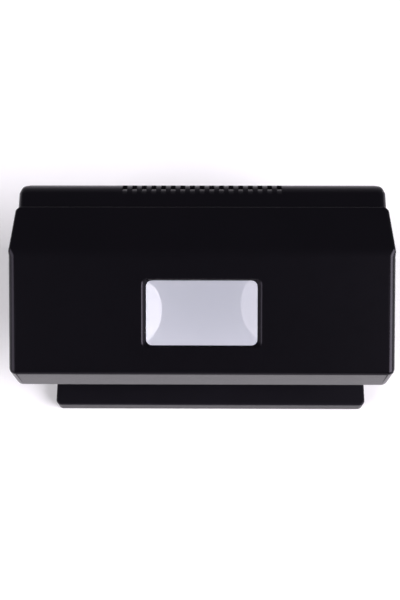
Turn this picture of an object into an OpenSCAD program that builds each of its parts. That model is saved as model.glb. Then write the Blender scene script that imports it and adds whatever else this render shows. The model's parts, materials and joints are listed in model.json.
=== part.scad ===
// Desk-top counterfeit bill detector: a hood with a magnifier window over a lit viewing deck,
// an ultraviolet tube under the hood, and a rear housing that holds the ballast and switches.
// Millimetres. +X is the operator's right, +Y is towards the rear, +Z is up, z = 0 is the counter.

/* [Hood] */
// Width of the hood at its front
hood_w = 196; // [194:1:200]
// Width of the hood where it meets the rear housing
hood_rear_w = 191.2; // [191:0.2:194]
// Front face of the hood
hood_front_y = -47.6; // [-50:0.2:-46]
// Line where the sloping facet meets the level top
crease_y = 10; // [8:1:12]
// Rear edge of the hood
hood_rear_y = 35; // [34.5:0.5:36]
// Level top of the hood
hood_top_z = 91.8; // [91.6:0.1:93]
// Upper edge of the hood's front lip
lip_top_z = 69.7; // [68:0.1:72]
// Lower rim of the hood
hood_rim_z = 48; // [46:1:49]

/* [Rear housing] */
// Width of the rear housing
housing_w = 190; // [188:1:191]
// Rear face of the housing
housing_rear_y = 50.6; // [50.6:0.2:53]
// Top of the housing
housing_top_z = 90; // [89.6:0.1:90.4]
// Number of vent slots across the top rear edge
vent_count = 17; // [7:2:19]
// Distance between vent slots
vent_pitch = 5; // [4.5:0.1:5.5]
// Width of one vent slot
vent_w = 2.5; // [2:0.1:3]

/* [Deck] */
// Width of the viewing deck
deck_w = 173; // [170:1:176]
// Distance of the deck's middle to the right of the hood's middle
deck_shift = 4.5; // [0:0.5:4.5]
// Front face of the deck
deck_front_y = -50.6; // [-53:0.2:-50]
// Top of the deck
deck_top_z = 12.5; // [12.5:0.5:13.5]
// Underside of the base
base_z = 2.5; // [2:0.5:3]
// Width of the lit panel
panel_w = 104; // [90:1:110]
// Depth of the lit panel
panel_d = 50; // [44:1:50]

/* [Window and lens] */
// Width of the viewing window in the hood
window_w = 61; // [50:1:62]
// Height of the viewing window along the slope
window_h = 34.8; // [30:0.2:36]
// Width of the bevel at the window's left and right sides
window_bevel = 2.3; // [1:0.1:2.5]
// Radius of the lens's convex side
lens_r = 120; // [110:5:160]
// Thickness of the lens at its middle
lens_t = 8.2; // [8.2:0.1:9]

/* [Lamp] */
// Length of the tube from cap face to cap face
tube_len = 136; // [130:1:136]
// Radius of the glass tube
tube_r = 7.75; // [7.5:0.05:8]

/* [Switches] */
// Tilt of a rocker to either side
rocker_tilt = 9; // [6:1:9]

/* [Hidden] */
$fn = 64;

wall = 2.2;
gap = 0.1;
eps = 0.5;
mould_black = [0.05, 0.05, 0.06];

// Sloping facet of the hood
facet_run = crease_y - hood_front_y;
facet_rise = hood_top_z - lip_top_z;
facet_angle = atan2(facet_rise, facet_run);
facet_len = norm([facet_run, facet_rise]);
facet_mid = [0, (crease_y + hood_front_y) / 2, (hood_top_z + lip_top_z) / 2];
edge_r = 3;
front_corner_r = 4;
window_bevel_y = 1;
window_bevel_depth = 1.9;
window_corner_r = 3;
window_hole = [window_w - 2 * window_bevel, window_h - 2 * window_bevel_y];

// Bulkhead, which closes the front of the rear housing
bulkhead_y = 24;
bulkhead_t = 2.2;
bulkhead_rear_y = bulkhead_y + bulkhead_t;
pan_t = 2;
floor_z = base_z + pan_t;

// Rear housing: its front part is stepped in so that the hood laps over it
rear_corner_r = 6;
rear_top_r = 8;
side_top_r = 4;
lap_y = hood_rear_y + 0.15;
lap_half_w = hood_rear_w / 2 - wall - 0.5;
lap_top_z = hood_top_z - wall - 0.4;
lap_bottom_z = hood_rim_z - 0.4;
cavity_half_w = housing_w / 2 - wall;
cavity_front_half_w = lap_half_w - 2.1;
cavity_rear_y = housing_rear_y - wall;
cavity_top_z = housing_top_z - wall;
cavity_front_top_z = lap_top_z - wall;

// Lamp
lamp_y = 13;
lamp_z = 74;
cap_r = 8;
cap_len = 10;
pin_r = 1.17;
pin_spacing = 4.75;
pin_len = 7;
socket_x = tube_len / 2 + 0.5;
socket_t = 10;
rotor_r = 6.5;
rotor_t = 6.5;

// Lens in the sloping facet's own frame, where z = 0 is the outer surface
lens_w = 66;
lens_h = 41;
lens_top = -wall - gap;
frame_rail = 2.8;
frame_gap = 0.2;
frame_bottom = -7.8;
frame_ear_top = -5.3;
frame_screw_x = 39.5;
frame_screw_y = 15;

// Deck and light panel
deck_left = deck_shift - deck_w / 2;
deck_right = deck_shift + deck_w / 2;
deck_corner_r = 3;
deck_wall = 2;
panel_mid_y = -6;
panel_flange = 2;
led_board_z = 5.3;
led_board_t = 1.2;

// Ballast board, standing behind the bulkhead
board_y = 30;
board_t = 1.6;
board_x = [-58, 22];
board_z = [26, 70];
board_face = board_y + board_t;

// Screw positions: x and y of the base screws, x and z of the others
deck_screws = [[deck_left + 8, -43], [deck_right - 8, -43], [deck_left + 8, 15], [deck_right - 8, 15]];
housing_base_screws = [[-52, 44], [52, 44]];
bulkhead_base_screws = [[-70, 30.4], [70, 30.4]];
housing_screw_pos = [[-84, 66], [84, 66]];
hood_screw_pos = [[-86, 80], [86, 80], [-86, 54], [86, 54]];
board_screw_pos = [[-54, 30], [18, 30], [-54, 66], [18, 66]];
socket_screw_z = 59;
reflector_screw_x = 30;
reflector_screw_z = 60.5;
led_screw_pos = [[-46, -28], [46, -28], [-46, 16], [46, 16]];
foot_pos = [[deck_left + 22, -42], [deck_right - 22, -42], [-74, 40], [74, 40]];
foot_r = 6;
lead_hole_x = 73.5;
lead_hole_r = 3.2;

// Mains inlet in the rear wall
inlet_x = -70;
inlet_z = 24;
inlet_pin_dx = 4.3;
inlet_depth = 12.5;

// Rocker switches in the right wall
switch_y = 38;
uv_switch_z = 34.5;
light_switch_z = 16.5;
rocker_x = housing_w / 2 - 1.5;
switch_body = [13, 8.5, 13.5];
switch_back_x = housing_w / 2 - switch_body[0];

// ---------- helpers ----------

// A box between two opposite corners
module block(low, high) {
    translate(low) cube(high - low);
}

// A profile drawn in Y and Z, extruded along X
module along_x(x0, x1) {
    translate([x0, 0, 0]) rotate([90, 0, 90]) linear_extrude(x1 - x0) children();
}

// A cylinder whose axis runs towards +X, +Y or +Z from a point
module rod_x(p, r, l) {
    translate(p) rotate([0, 90, 0]) cylinder(r = r, h = l);
}

module rod_y(p, r, l) {
    translate(p) rotate([-90, 0, 0]) cylinder(r = r, h = l);
}

module rod_z(p, r, l) {
    translate(p) cylinder(r = r, h = l);
}

module rounded_rect(w, h, r) {
    square([w - 2 * r, h], center = true);
    square([w, h - 2 * r], center = true);
    for (sx = [-1, 1], sy = [-1, 1])
        translate([sx * (w / 2 - r), sy * (h / 2 - r)]) circle(r);
}

// The sloping facet's own frame: X across, Y up the slope, Z outwards
module on_facet() {
    translate(facet_mid) rotate([facet_angle, 0, 0]) children();
}

// A pan-head screw whose head's underside is at the origin and whose shank runs towards -Z
module screw(head_r, head_h, shank_r, shank_l) {
    difference() {
        cylinder(r = head_r, h = head_h);
        for (turn = [0, 90])
            rotate(turn) translate([0, 0, head_h]) cube([head_r * 1.2, head_r * 0.28, head_h], center = true);
    }
    translate([0, 0, -shank_l]) cylinder(r = shank_r, h = shank_l);
}

// The concave corner piece that is cut away to round an edge
module fillet_cutter(r, l) {
    translate([0, 0, -l / 2]) linear_extrude(l) difference() {
        translate([-r, -r]) square(r + eps);
        translate([-r, -r]) circle(r);
    }
}

// Offsets a polyline to both sides and joins the two into one outline of thickness t
function unit(v) = v / norm(v);
function left_of(v) = [-v[1], v[0]];
function tangent(p, i) = i == 0 ? unit(p[1] - p[0])
    : i == len(p) - 1 ? unit(p[i] - p[i - 1])
    : unit(unit(p[i] - p[i - 1]) + unit(p[i + 1] - p[i]));
function mitre(p, i) = i == 0 || i == len(p) - 1 ? 1 : 1 / (tangent(p, i) * unit(p[i + 1] - p[i]));
function side_points(p, d) = [for (i = [0:len(p) - 1]) p[i] + left_of(tangent(p, i)) * d * mitre(p, i)];
function reversed(v) = [for (i = [len(v) - 1:-1:0]) v[i]];
function ribbon(p, t) = concat(side_points(p, t / 2), reversed(side_points(p, -t / 2)));

// A smooth curve through hand-placed points
function spline_point(a, b, c, d, t) =
    0.5 * (2 * b + (c - a) * t + (2 * a - 5 * b + 4 * c - d) * t * t + (3 * b - a - 3 * c + d) * t * t * t);
function smooth(p, steps) = concat(
    [for (i = [0:len(p) - 2], k = [0:steps - 1])
        spline_point(p[max(i - 1, 0)], p[i], p[i + 1], p[min(i + 2, len(p) - 1)], k / steps)],
    [p[len(p) - 1]]);

// A wire along a curve. Each ring stands square to the curve
lead_sides = 8;
lead_r = 0.8;
lead_reference = [-0.05, 0.46, 0.89];
function ring(centre, dir, r) =
    let (u = unit(cross(dir, lead_reference)), v = cross(dir, u))
    [for (k = [0:lead_sides - 1]) centre + r * (u * cos(360 * k / lead_sides) + v * sin(360 * k / lead_sides))];

module lead(path, r = lead_r, steps = 4) {
    p = smooth(path, steps);
    last = len(p) - 1;
    rings = [for (i = [0:last]) each ring(p[i], tangent(p, i), r)];
    sides = [for (i = [0:last - 1], k = [0:lead_sides - 1])
        let (a = i * lead_sides, n = (k + 1) % lead_sides)
        each [[a + k, a + n, a + lead_sides + n], [a + k, a + lead_sides + n, a + lead_sides + k]]];
    caps = [[for (k = [lead_sides - 1:-1:0]) k], [for (k = [0:lead_sides - 1]) last * lead_sides + k]];
    polyhedron(rings, concat(sides, caps), convexity = 6);
}

// ---------- base ----------

// The deck's outline with two round front corners
module deck_plan(inset, rear_y) {
    r = deck_corner_r - inset;
    low_x = deck_left + inset;
    front_y = deck_front_y + inset;
    w = deck_w - 2 * inset;
    translate([low_x, front_y + r]) square([w, rear_y - front_y - r]);
    translate([low_x + r, front_y]) square([w - 2 * r, rear_y - front_y]);
    for (x = [low_x + r, low_x + w - r]) translate([x, front_y + r]) circle(r);
}

module base_plan(inset) {
    deck_plan(inset, bulkhead_rear_y);
    rear_plan(housing_w / 2 - inset, bulkhead_y + inset, housing_rear_y - inset, rear_corner_r - inset);
}

// A plan outline with two round rear corners
module rear_plan(half_w, front_y, rear_y, r) {
    translate([-half_w, front_y]) square([2 * half_w, rear_y - r - front_y]);
    translate([-half_w + r, front_y]) square([2 * (half_w - r), rear_y - front_y]);
    for (s = [-1, 1]) translate([s * (half_w - r), rear_y - r]) circle(r);
}

base_screw_spots = concat(deck_screws, housing_base_screws, bulkhead_base_screws);
cup_r = 4.2;
cup_top_z = 6;
head_r = 2.6;
head_seat_z = 4.6;

module base_pan() {
    color(mould_black) difference() {
        union() {
            translate([0, 0, base_z]) linear_extrude(pan_t) base_plan(0);
            // Locating rim that nests inside the deck cover
            translate([0, 0, floor_z]) linear_extrude(2) difference() {
                translate([deck_left + 2.3, deck_front_y + 2.3]) square([deck_w - 4.6, 70]);
                translate([deck_left + 3.7, deck_front_y + 3.7]) square([deck_w - 7.4, 70]);
            }
            for (p = base_screw_spots) rod_z([p[0], p[1], base_z], cup_r, cup_top_z - base_z);
            for (p = led_screw_pos) rod_z([p[0], p[1], base_z], 3, led_board_z - base_z);
        }
        for (p = base_screw_spots) {
            rod_z([p[0], p[1], base_z - eps], 3, head_seat_z - base_z + eps);
            rod_z([p[0], p[1], base_z], 1.6, 10);
        }
        for (p = led_screw_pos) rod_z([p[0], p[1], base_z + 0.8], 0.95, 10);
        // Air slots under the ballast bay and under the light panel
        for (i = [-4:4]) block([i * 8 - 1.25, 30, 0], [i * 8 + 1.25, 42, 10]);
        for (i = [-5:5]) block([i * 7 - 1.25, -20, 0], [i * 7 + 1.25, 8, 10]);
    }
}

module deck_cover() {
    color(mould_black) difference() {
        union() {
            difference() {
                translate([0, 0, floor_z]) linear_extrude(deck_top_z - floor_z) deck_plan(0, bulkhead_y - gap);
                translate([0, 0, -1]) linear_extrude(deck_top_z - deck_wall + 1) deck_plan(deck_wall, bulkhead_y + 1);
            }
            for (p = deck_screws) rod_z([p[0], p[1], cup_top_z], 3.4, deck_top_z - cup_top_z - 1);
            // Ribs that hold the diffuser's flange up against the top wall
            for (s = [-1, 1])
                block([s * (panel_w / 2 + 4) - 0.6, panel_mid_y - 22, cup_top_z + 2],
                    [s * (panel_w / 2 + 4) + 0.6, panel_mid_y + 22, deck_top_z - 1]);
        }
        translate([0, panel_mid_y, 0]) linear_extrude(20) rounded_rect(panel_w + 0.3, panel_d + 0.3, 2);
        for (p = deck_screws) rod_z([p[0], p[1], 0], 1.1, deck_top_z - 1.5);
    }
}

module rubber_feet() {
    color([0.09, 0.09, 0.09]) for (p = foot_pos) translate([p[0], p[1], 0]) {
        cylinder(r1 = foot_r - 0.6, r2 = foot_r, h = 0.6);
        translate([0, 0, 0.6]) cylinder(r = foot_r, h = base_z - 0.6);
    }
}

module base_screws() {
    color("silver") {
        for (p = base_screw_spots)
            translate([p[0], p[1], head_seat_z]) rotate([180, 0, 0]) screw(head_r, 1.7, 1.05, 6);
    }
}

// ---------- light panel ----------

module light_diffuser() {
    color([0.95, 0.95, 0.98]) translate([0, panel_mid_y, 0]) {
        translate([0, 0, deck_top_z - deck_wall - 0.05])
            linear_extrude(deck_wall + 0.05) rounded_rect(panel_w, panel_d, 1.85);
        translate([0, 0, deck_top_z - deck_wall - 1])
            linear_extrude(1) rounded_rect(panel_w + 2 * panel_flange, panel_d + 2 * panel_flange, 3);
    }
}

led_columns = 8;
led_rows = 3;

module led_board() {
    color([0.92, 0.93, 0.9]) difference() {
        block([-50, -32, led_board_z], [50, 20, led_board_z + led_board_t]);
        for (p = led_screw_pos) rod_z([p[0], p[1], 0], 1.3, 20);
    }
}

module white_leds() {
    color([1, 0.95, 0.7])
        for (i = [0:led_columns - 1], j = [0:led_rows - 1])
            translate([(i - (led_columns - 1) / 2) * 11.5, panel_mid_y + (j - 1) * 15, led_board_z + led_board_t])
                translate([-1.75, -1.4, 0]) cube([3.5, 2.8, 0.8]);
}

module led_board_screws() {
    color("silver") for (p = led_screw_pos)
        translate([p[0], p[1], led_board_z + led_board_t]) screw(1.9, 1.2, 0.95, 2.8);
}

// ---------- bulkhead ----------

module bulkhead() {
    half_w = cavity_front_half_w - 0.2;
    top_z = cavity_front_top_z - 0.2;
    color(mould_black) difference() {
        union() {
            block([-half_w, bulkhead_y, floor_z], [half_w, bulkhead_rear_y, top_z]);
            for (p = housing_screw_pos)
                rod_y([p[0], bulkhead_y + 1, p[1]], 3.4, cavity_rear_y - bulkhead_y - 1 - gap);
            for (p = board_screw_pos) rod_y([p[0], bulkhead_y + 1, p[1]], 2.6, board_y - bulkhead_y - 1);
            for (p = bulkhead_base_screws) {
                rod_z([p[0], p[1], cup_top_z], 3.4, 9);
                block([p[0] - 1, bulkhead_y + 1, cup_top_z], [p[0] + 1, p[1] - 2, cup_top_z + 9]);
            }
        }
        for (p = housing_screw_pos) rod_y([p[0], cavity_rear_y - 14, p[1]], 1.1, 20);
        for (p = board_screw_pos) rod_y([p[0], bulkhead_y + 1.4, p[1]], 0.95, 20);
        for (p = bulkhead_base_screws) rod_z([p[0], p[1], 0], 1.1, cup_top_z + 7.5);
        for (p = hood_screw_pos) rod_y([p[0], 0, p[1]], 1.6, 60);
        for (s = [-1, 1]) {
            rod_y([s * lead_hole_x, 0, lamp_z], lead_hole_r, 60);
            rod_y([s * lead_hole_x, 0, socket_screw_z], 1.05, 60);
            rod_y([s * reflector_screw_x, 0, reflector_screw_z], 1.05, 60);
        }
        // Notch through which the leads of the light panel pass
        block([-6, 0, 0], [6, 60, 9.5]);
        // Clearance around the pan's screw cups
        for (p = bulkhead_base_screws) rod_z([p[0], p[1], 0], cup_r + 0.3, cup_top_z);
    }
}

// ---------- rear housing ----------

module column(half_w, front_y, rear_y, low_z, top_z, corner_r, back_r, side_r) {
    intersection() {
        translate([0, 0, low_z]) linear_extrude(top_z - low_z) rear_plan(half_w, front_y, rear_y, corner_r);
        along_x(-half_w, half_w) {
            translate([front_y, low_z]) square([rear_y - back_r - front_y, top_z - low_z]);
            translate([front_y, low_z]) square([rear_y - front_y, top_z - back_r - low_z]);
            translate([rear_y - back_r, top_z - back_r]) circle(back_r);
        }
        translate([0, rear_y, 0]) rotate([90, 0, 0]) linear_extrude(rear_y - front_y) {
            translate([-half_w, low_z]) square([2 * half_w, top_z - side_r - low_z]);
            translate([-half_w + side_r, low_z]) square([2 * (half_w - side_r), top_z - low_z]);
            for (s = [-1, 1]) translate([s * (half_w - side_r), top_z - side_r]) circle(side_r);
        }
    }
}

// A vent slot starts on the level top, falls away in a curve and opens into the cavity behind it
vent_tip_y = housing_rear_y - 8.1;
vent_curve_r = 5.95;
vent_curve_y = vent_tip_y - 0.6;
vent_curve_z = housing_top_z - 6;
vent_end_y = vent_curve_y + vent_curve_r * sin(50);
vent_lip_y = housing_rear_y - 2.9;
vent_lip_z = housing_top_z - 3.9;
vent_floor_z = housing_top_z - 5.5;

module vent_profile() {
    difference() {
        polygon([[vent_tip_y, vent_floor_z], [vent_lip_y, vent_floor_z], [vent_lip_y, vent_lip_z],
            [60, vent_lip_z], [60, housing_top_z + 5], [vent_tip_y, housing_top_z + 5]]);
        intersection() {
            translate([vent_curve_y, vent_curve_z]) circle(vent_curve_r);
            translate([0, vent_floor_z - 1]) square([vent_end_y, 20]);
        }
    }
}

module rear_housing() {
    color(mould_black) difference() {
        union() {
            difference() {
                column(housing_w / 2, bulkhead_y, housing_rear_y, floor_z, housing_top_z,
                    rear_corner_r, rear_top_r, side_top_r);
                column(cavity_half_w, lap_y + 0.9, cavity_rear_y, 0, cavity_top_z,
                    rear_corner_r - wall, rear_top_r - wall, side_top_r - wall);
                block([-cavity_front_half_w, 0, 0], [cavity_front_half_w, lap_y + 1, cavity_front_top_z]);
            }
            for (p = housing_base_screws) {
                rod_z([p[0], p[1], cup_top_z], 3.4, 14);
                block([p[0] - 1, p[1] + 2, cup_top_z], [p[0] + 1, cavity_rear_y + 1, cup_top_z + 14]);
            }
        }
        // Step that the hood laps over
        difference() {
            block([-housing_w, 0, lap_bottom_z], [housing_w, lap_y, 2 * housing_top_z]);
            block([-lap_half_w, -1, 0], [lap_half_w, lap_y + 1, lap_top_z]);
        }
        for (p = housing_base_screws) rod_z([p[0], p[1], 0], 1.1, cup_top_z + 11);
        // Vent slots that run over the top rear edge
        for (i = [0:vent_count - 1]) {
            x = (i - (vent_count - 1) / 2) * vent_pitch;
            along_x(x - vent_w / 2, x + vent_w / 2) vent_profile();
        }
        // Countersunk seats of the housing screws
        for (p = housing_screw_pos) {
            rod_y([p[0], 40, p[1]], 1.6, 20);
            rod_y([p[0], housing_rear_y - 1.1, p[1]], 3, 5);
        }
        // Inlet and switch cut-outs
        translate([inlet_x, 60, inlet_z]) rotate([90, 0, 0]) linear_extrude(20) rounded_rect(20.6, 12.6, 2);
        for (z = [uv_switch_z, light_switch_z])
            translate([housing_w / 2, switch_y, z]) cube([20, switch_body[1] + 0.2, switch_body[2] + 0.2], center = true);
    }
}

module housing_screws() {
    color("silver") for (p = housing_screw_pos)
        translate([p[0], housing_rear_y - 1.1, p[1]]) rotate([-90, 0, 0]) screw(head_r, 1, 1.05, 12);
}

// ---------- hood ----------

// The hood's outer form, drawn in by an inset on every side
module hood_form(inset, rim_z) {
    rise_inset = inset / cos(facet_angle);
    slope_drop = inset * tan(facet_angle);
    intersection() {
        along_x(-hood_w / 2 + inset, hood_w / 2 - inset)
            polygon([
                [hood_front_y + inset, rim_z],
                [hood_front_y + inset, lip_top_z - rise_inset + slope_drop],
                [crease_y - inset * tan(facet_angle / 2), hood_top_z - inset],
                [hood_rear_y + (inset > 0 ? 1 : 0), hood_top_z - inset],
                [hood_rear_y + (inset > 0 ? 1 : 0), rim_z]]);
        translate([0, 0, rim_z - 1]) linear_extrude(hood_top_z) polygon(hood_plan(inset));
    }
}

rear_chamfer = 2;
function hood_half_w(y) = y < crease_y ? hood_w / 2
    : hood_w / 2 - (hood_w - hood_rear_w) / 2 * (y - crease_y) / (hood_rear_y - crease_y);
function hood_plan(inset) =
    let (cut = inset > 0 ? 0 : rear_chamfer,
        y1 = hood_rear_y + (inset > 0 ? 1 : 0),
        x_front = hood_w / 2 - inset,
        half = [for (p = [[x_front, hood_front_y + inset], [x_front, crease_y],
            [hood_half_w(y1) - inset, y1 - cut], [hood_half_w(y1) - inset - cut, y1]]) p])
    concat(half, [for (i = [3:-1:0]) [-half[i][0], half[i][1]]]);

hood_boss_l = 14;

module hood() {
    color(mould_black) difference() {
        union() {
            difference() {
                hood_form(0, hood_rim_z);
                hood_form(wall, hood_rim_z - 1);
                // Round the edges between the facets and the side walls
                for (s = [-1, 1]) {
                    on_facet() translate([s * hood_w / 2, 0, 0]) mirror([s < 0 ? 1 : 0, 0, 0])
                        rotate([90, 0, 0]) fillet_cutter(edge_r, facet_len + 12);
                    translate([s * hood_w / 2, crease_y, hood_top_z]) mirror([s < 0 ? 1 : 0, 0, 0])
                        rotate([0, 0, atan2((hood_w - hood_rear_w) / 2, hood_rear_y - crease_y)])
                            rotate([90, 0, 0]) fillet_cutter(edge_r, 80);
                    // Round the upright front corners
                    translate([s * hood_w / 2, hood_front_y, hood_rim_z])
                        mirror([s < 0 ? 1 : 0, 0, 0]) mirror([0, 1, 0]) fillet_cutter(front_corner_r, 80);
                }
            }
            // Bosses for the screws that come through the bulkhead
            for (p = hood_screw_pos) {
                rod_y([p[0], bulkhead_y - gap - hood_boss_l, p[1]], 3.4, hood_boss_l);
                s = sign(p[0]);
                block([min(p[0], s * (hood_w / 2 - 2)), bulkhead_y - gap - hood_boss_l, p[1] - 1],
                    [max(p[0], s * (hood_w / 2 - 2)), bulkhead_y - gap - 2, p[1] + 1]);
            }
            on_facet() for (sx = [-1, 1], sy = [-1, 1])
                rod_z([sx * frame_screw_x, sy * frame_screw_y, frame_ear_top + gap], 2.8, -frame_ear_top - 1);
        }
        for (p = hood_screw_pos)
            rod_y([p[0], bulkhead_y - gap - hood_boss_l + 2, p[1]], 1.1, hood_boss_l);
        on_facet() {
            for (sx = [-1, 1], sy = [-1, 1])
                rod_z([sx * frame_screw_x, sy * frame_screw_y, frame_ear_top - 1], 0.95, 4.6);
            translate([0, 0, -10])
                linear_extrude(20) rounded_rect(window_hole[0], window_hole[1], window_corner_r);
            hull() {
                translate([0, 0, -window_bevel_depth]) linear_extrude(0.01)
                    rounded_rect(window_hole[0], window_hole[1], window_corner_r, $fn = 32);
                translate([0, 0, 0.1]) linear_extrude(0.01)
                    rounded_rect(window_w + 0.2, window_h + 0.2, window_corner_r, $fn = 32);
            }
        }
    }
}

module hood_screws() {
    color("silver") for (p = hood_screw_pos)
        translate([p[0], bulkhead_rear_y, p[1]]) rotate([-90, 0, 0]) screw(head_r, 1.7, 1.05, 9);
}

// ---------- magnifier ----------

module magnifier_lens() {
    color([0.8, 0.9, 1, 0.4]) on_facet() intersection() {
        block([-lens_w / 2, -lens_h / 2, lens_top - 20], [lens_w / 2, lens_h / 2, lens_top]);
        translate([0, 0, lens_top - lens_t + lens_r]) sphere(lens_r, $fn = 128);
    }
}

module lens_frame() {
    inner_w = lens_w + 2 * frame_gap;
    inner_h = lens_h + 2 * frame_gap;
    color([0.08, 0.08, 0.09]) on_facet() difference() {
        union() {
            difference() {
                block([-inner_w / 2 - frame_rail, -inner_h / 2 - frame_rail, frame_bottom],
                    [inner_w / 2 + frame_rail, inner_h / 2 + frame_rail, lens_top]);
                block([-inner_w / 2, -inner_h / 2, frame_bottom - 1], [inner_w / 2, inner_h / 2, 0]);
            }
            // Tabs under the lens's corners
            for (sx = [-1, 1], sy = [-1, 1]) {
                a = [sx * 28, sy * 15.5];
                b = [sx * (inner_w / 2 + 1), sy * (inner_h / 2 + 1)];
                block([min(a[0], b[0]), min(a[1], b[1]), frame_bottom],
                    [max(a[0], b[0]), max(a[1], b[1]), frame_bottom + 1.4]);
            }
            // Ears for the screws
            for (sx = [-1, 1], sy = [-1, 1]) {
                a = [sx * (inner_w / 2 + 1), sx * (frame_screw_x + 4)];
                block([min(a), sy * frame_screw_y - 4, frame_ear_top - 1.4],
                    [max(a), sy * frame_screw_y + 4, frame_ear_top]);
            }
        }
        for (sx = [-1, 1], sy = [-1, 1]) rod_z([sx * frame_screw_x, sy * frame_screw_y, -20], 1.2, 30);
    }
}

module lens_frame_screws() {
    color("silver") on_facet() for (sx = [-1, 1], sy = [-1, 1])
        translate([sx * frame_screw_x, sy * frame_screw_y, frame_ear_top - 1.4])
            rotate([180, 0, 0]) screw(2, 1.3, 0.95, 4.2);
}

// ---------- lamp ----------

module uv_tube() {
    half = tube_len / 2 - cap_len + 3;
    color([0.15, 0.1, 0.3]) difference() {
        rod_x([-half, lamp_y, lamp_z], tube_r, 2 * half);
        rod_x([-half - 1, lamp_y, lamp_z], tube_r - 0.8, 2 * half + 2);
    }
}

module tube_cap(s) {
    end = tube_len / 2;
    color("silver") mirror([s < 0 ? 1 : 0, 0, 0]) difference() {
        rod_x([end - cap_len, lamp_y, lamp_z], cap_r, cap_len);
        rod_x([end - cap_len - 1, lamp_y, lamp_z], tube_r + 0.02, 4.1);
        rod_x([end - cap_len, lamp_y, lamp_z], tube_r - 0.8, cap_len - 1.6);
    }
}

module tube_pins() {
    color("gold") for (s = [-1, 1], t = [-1, 1])
        mirror([s < 0 ? 1 : 0, 0, 0])
            rod_x([tube_len / 2, lamp_y + t * pin_spacing / 2, lamp_z], pin_r, pin_len);
}

module socket_rotor(s) {
    color("ivory") mirror([s < 0 ? 1 : 0, 0, 0]) difference() {
        rod_x([socket_x + 0.3, lamp_y, lamp_z], rotor_r, rotor_t);
        block([socket_x - 1, lamp_y - rotor_r - 1, lamp_z - pin_r - 0.15],
            [socket_x + pin_len, lamp_y + rotor_r + 1, lamp_z + pin_r + 0.15]);
    }
}

module lamp_socket(s) {
    color("white") mirror([s < 0 ? 1 : 0, 0, 0]) difference() {
        union() {
            along_x(socket_x, socket_x + socket_t) {
                translate([lamp_y, lamp_z]) circle(9.5);
                translate([lamp_y, lamp_z - 9.5]) square([bulkhead_y - gap - lamp_y, 19]);
            }
            block([socket_x, bulkhead_y - gap - 3, lamp_z - 19], [socket_x + socket_t, bulkhead_y - gap, lamp_z - 9]);
        }
        rod_x([socket_x - 1, lamp_y, lamp_z], rotor_r + 0.08, rotor_t + 1.5);
        // Entry slot for the tube's pins, which pass it once the tube is turned
        block([socket_x - 1, lamp_y - 1.5, lamp_z - 12], [socket_x + 7.5, lamp_y + 1.5, lamp_z]);
        rod_y([lead_hole_x, 0, socket_screw_z], 1.2, 60);
        // Bore for the leads, from the back
        rod_y([lead_hole_x, bulkhead_y - 3, lamp_z], 2.2, 6);
    }
}

module socket_screws() {
    color("silver") for (s = [-1, 1])
        translate([s * lead_hole_x, bulkhead_y - gap - 3, socket_screw_z]) rotate([90, 0, 0]) screw(2, 1.3, 1.05, 5.4);
}

reflector_t = 0.8;
reflector_path = [[23.3, 57], [23.3, 80.5], [18.5, 85.4], [9.4, 85.4]];

module uv_reflector() {
    color([0.85, 0.86, 0.88]) difference() {
        along_x(-66, 66) polygon(ribbon(reflector_path, reflector_t));
        for (s = [-1, 1]) rod_y([s * reflector_screw_x, 0, reflector_screw_z], 1.2, 60);
    }
}

module reflector_screws() {
    color("silver") for (s = [-1, 1])
        translate([s * reflector_screw_x, reflector_path[0][0] - reflector_t / 2, reflector_screw_z])
            rotate([90, 0, 0]) screw(2, 1.3, 1.05, 3.2);
}

// ---------- ballast ----------

module ballast_board() {
    color([0.1, 0.35, 0.2]) difference() {
        block([board_x[0], board_y, board_z[0]], [board_x[1], board_face, board_z[1]]);
        for (p = board_screw_pos) rod_y([p[0], 0, p[1]], 1.3, 60);
    }
}

module board_screws() {
    color("silver") for (p = board_screw_pos)
        translate([p[0], board_face, p[1]]) rotate([-90, 0, 0]) screw(1.9, 1.2, 0.95, 5);
}

transformer_pos = [-33, 52];

module transformer_core() {
    x = transformer_pos[0];
    z = transformer_pos[1];
    color([0.2, 0.2, 0.22]) difference() {
        block([x - 9, board_face + 2, z - 8], [x + 9, board_face + 13, z + 8]);
        // Winding windows either side of the middle limb
        for (s = [-1, 1])
            block([x + s * 4.75 - 2.35, board_face, z - 5.5], [x + s * 4.75 + 2.35, board_face + 20, z + 5.5]);
    }
}

module transformer_bobbin() {
    x = transformer_pos[0];
    z = transformer_pos[1];
    color([0.75, 0.6, 0.2]) {
        difference() {
            block([x - 6.9, board_face + 0.6, z - 5.3], [x + 6.9, board_face + 14.4, z + 5.3]);
            block([x - 2.5, board_face - 1, z - 9], [x + 2.5, board_face + 20, z + 9]);
        }
        for (s = [-1, 1], k = [-1, 0, 1])
            rod_y([x + s * 5, board_face, z + k * 3.5], 0.4, 0.6);
    }
}

module bulk_capacitor() {
    color([0.1, 0.15, 0.35]) rod_y([-8, board_face, 56], 5, 14);
}

module film_capacitors() {
    color([0.7, 0.15, 0.1])
        for (c = [[-18, 33, 4, 11], [-8, 40, 5, 9], [6, 36, 4, 10]])
            block([c[0] - 5, board_face, c[1] - c[2] / 2], [c[0] + 5, board_face + c[3], c[1] + c[2] / 2]);
}

module power_transistors() {
    color([0.12, 0.12, 0.12]) for (x = [2, 11]) {
        block([x - 3.9, board_face + 3, 64], [x + 3.9, board_face + 13, 66.7]);
        for (k = [-1, 0, 1]) block([x + k * 2.3 - 0.35, board_face, 65], [x + k * 2.3 + 0.35, board_face + 3, 65.5]);
    }
}

fuse_z = 33;
fuse_x = [-52, -32];
fuse_y = board_face + 5;

module fuse() {
    color([0.9, 0.92, 0.95]) rod_x([fuse_x[0], fuse_y, fuse_z], 2.6, fuse_x[1] - fuse_x[0]);
}

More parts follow.
